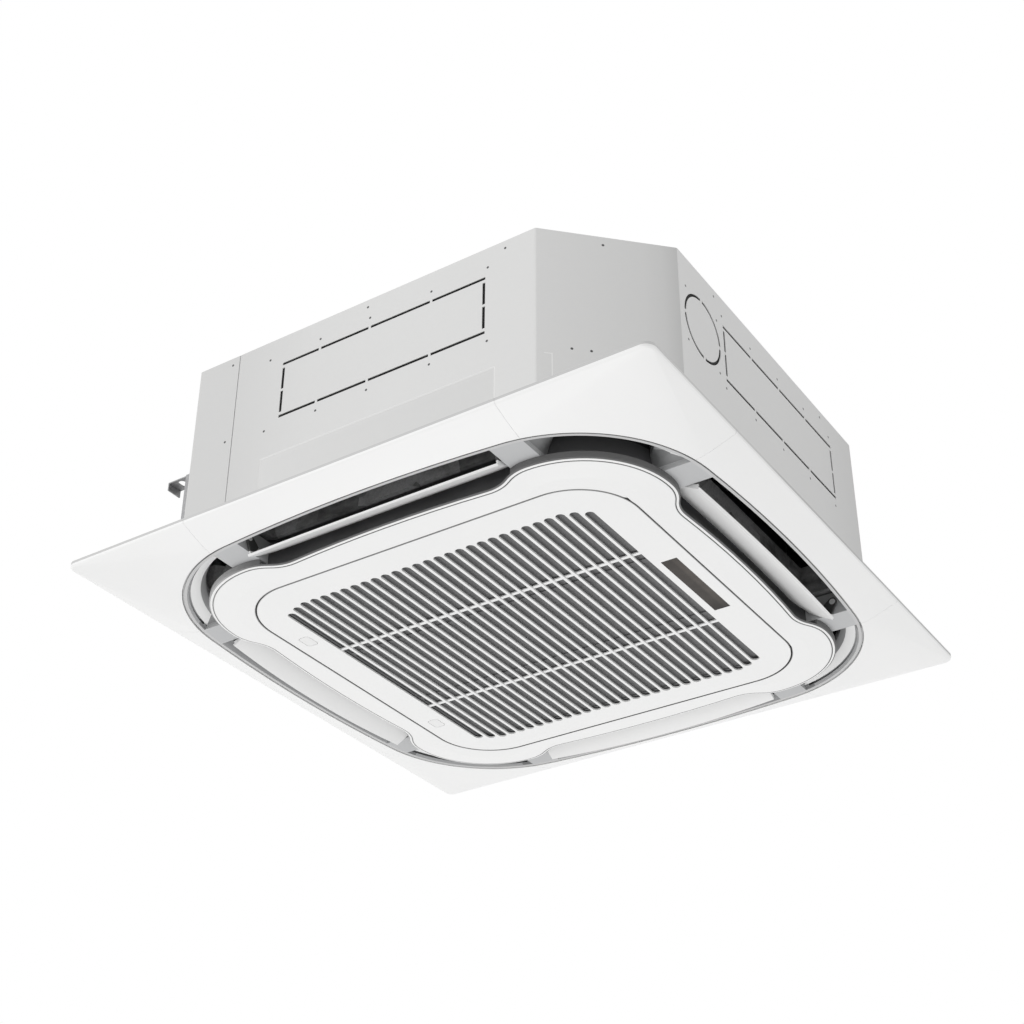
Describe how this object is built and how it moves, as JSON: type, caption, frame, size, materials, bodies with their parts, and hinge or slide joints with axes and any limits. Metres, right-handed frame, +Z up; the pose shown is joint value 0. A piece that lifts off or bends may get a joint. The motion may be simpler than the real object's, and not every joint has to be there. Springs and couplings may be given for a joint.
{
  "type": "ceiling cassette air conditioner",
  "caption": "Four-way ceiling cassette air conditioner: sheet metal body above the ceiling, square white panel with slatted intake grille and swinging louvres below.",
  "frame": {"origin": "middle of the panel, in the plane of the finished ceiling", "axes": "+Z up into the ceiling; the pipes leave towards -X, the latches are on the -X side of the grille and its hinge on the +X side"},
  "size_m": [0.951, 0.95, 0.3487],
  "materials": {
    "panel_white": "white, satin, fine grain",
    "grille_white": "white, satin, fine grain",
    "louvre_white": "white, satin",
    "latch_white": "white, satin",
    "outlet_grey": "light grey, matt",
    "frame_black": "black, matt",
    "pin_steel": "turned steel",
    "filter_plastic": "dark grey, matt",
    "filter_net": "dark woven net",
    "window_smoke": "smoked, clear",
    "board_green": "circuit board",
    "motor_metal": "plated steel",
    "seal_foam": "black foam",
    "casing_metal": "light grey coated sheet",
    "liner_foam": "grey foam",
    "pan_foam": "dark foam moulding",
    "plug_rubber": "black rubber",
    "bell_plastic": "black, matt",
    "coil_fins": "thin fins",
    "plate_metal": "galvanised sheet",
    "hanger_metal": "galvanised sheet",
    "box_metal": "galvanised sheet",
    "copper": "copper tube",
    "impeller_plastic": "dark grey, matt",
    "terminal_plastic": "white moulding",
    "pump_plastic": "white moulding",
    "hose_rubber": "grey hose",
    "float_plastic": "foam float"
  },
  "bodies": {
    "unit": {"panel_frame": "panel_white", "corner_cover_back_right": "panel_white", "corner_cover_back_left": "panel_white", "corner_cover_front_left": "panel_white", "corner_cover_front_right": "panel_white", "inner_ring": "panel_white", "outlet_ring": "outlet_grey", "intake_frame": "frame_black", "grille_hinge_pins": "pin_steel", "louvre_motor_back": "motor_metal", "louvre_motor_left": "motor_metal", "louvre_motor_front": "motor_metal", "louvre_motor_right": "motor_metal", "panel_seals": "seal_foam", "casing_front": "casing_metal", "casing_right": "casing_metal", "casing_back": "casing_metal", "casing_left": "casing_metal", "casing_top": "casing_metal", "liner_front": "liner_foam", "liner_right": "liner_foam", "liner_back": "liner_foam", "liner_left": "liner_foam", "drain_pan": "pan_foam", "drain_plug": "plug_rubber", "bell_mouth": "bell_plastic", "coil": "coil_fins", "gas_header": "copper", "gas_pipe": "copper", "liquid_pipe": "copper", "fan_motor": "motor_metal", "motor_mount": "plate_metal", "electrical_box": "box_metal", "electrical_cover": "box_metal", "control_board": "board_green", "terminal_block": "terminal_plastic", "drain_pump": "pump_plastic", "pump_bracket": "plate_metal", "drain_hose": "hose_rubber", "drain_outlet": "pump_plastic", "float_switch": "pump_plastic", "pipe_plate": "plate_metal", "cable_gland": "plug_rubber", "hanger_front": "hanger_metal", "hanger_back": "hanger_metal"},
    "rotor": {"impeller": "impeller_plastic", "fan_shaft": "pin_steel"},
    "grille": {"intake_grille": "grille_white", "filter_frame": "filter_plastic", "filter_mesh": "filter_net", "display_window": "window_smoke", "receiver_board": "board_green"},
    "latch_button_front": {"latch_front": "latch_white"},
    "latch_button_back": {"latch_back": "latch_white"},
    "vane_front": {"louvre_front": "louvre_white"},
    "vane_right": {"louvre_right": "louvre_white"},
    "vane_back": {"louvre_back": "louvre_white"},
    "vane_left": {"louvre_left": "louvre_white"},
    "float_ring": {"float": "float_plastic"}
  },
  "joints": [
    {"name": "fan_spin", "type": "hinge", "parent": "unit", "child": "rotor", "pos_m": [0, 0, 0.17], "axis": [0, 0, 1], "continuous": true},
    {"name": "grille_hinge", "type": "hinge", "parent": "unit", "child": "grille", "pos_m": [0.3069, 0, -0.0378], "axis": [0, -1, 0], "range_deg": [0, 90]},
    {"name": "latch_front_press", "type": "slide", "parent": "grille", "child": "latch_button_front", "axis": [0, 0, 1], "range_m": [0, 0.003], "stiffness_N_per_m": 400, "springref_m": -0.002},
    {"name": "latch_back_press", "type": "slide", "parent": "grille", "child": "latch_button_back", "axis": [0, 0, 1], "range_m": [0, 0.003], "stiffness_N_per_m": 400, "springref_m": -0.002},
    {"name": "louvre_front_swing", "type": "hinge", "parent": "unit", "child": "vane_front", "pos_m": [0, -0.395, -0.007], "axis": [1, 0, 0], "range_deg": [-42, 15]},
    {"name": "louvre_right_swing", "type": "hinge", "parent": "unit", "child": "vane_right", "pos_m": [0.395, 0, -0.007], "axis": [0, 1, 0], "range_deg": [-42, 15]},
    {"name": "louvre_back_swing", "type": "hinge", "parent": "unit", "child": "vane_back", "pos_m": [0, 0.395, -0.007], "axis": [-1, 0, 0], "range_deg": [-42, 15]},
    {"name": "louvre_left_swing", "type": "hinge", "parent": "unit", "child": "vane_left", "pos_m": [-0.395, 0, -0.007], "axis": [0, -1, 0], "range_deg": [-42, 15]},
    {"name": "float_rise", "type": "slide", "parent": "unit", "child": "float_ring", "axis": [0, 0, 1], "range_m": [0, 0.01]}
  ]
}
